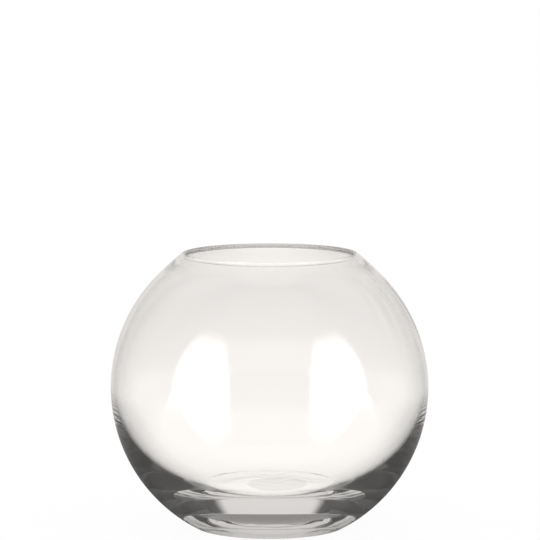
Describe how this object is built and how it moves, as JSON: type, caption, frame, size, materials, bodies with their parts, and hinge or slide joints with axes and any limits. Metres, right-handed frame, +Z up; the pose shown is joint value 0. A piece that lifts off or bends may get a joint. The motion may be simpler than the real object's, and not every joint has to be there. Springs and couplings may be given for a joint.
{
  "type": "rose bowl vase",
  "caption": "Ball-shaped clear glass flower bowl with a wide round mouth, a melted rim, thin walls and a thick flat-footed base.",
  "frame": {"origin": "centre of the resting face under the bowl, on the table", "axes": "+Z up along the bowl's axis of turning, out of the mouth; the bowl is the same all round, so +X and +Y are free"},
  "size_m": [0.15, 0.15, 0.13],
  "materials": {
    "clear_glass": "clear, smooth and glossy, with a melted rim"
  },
  "bodies": {
    "root": {"glass_bowl": "clear_glass"}
  },
  "joints": []
}
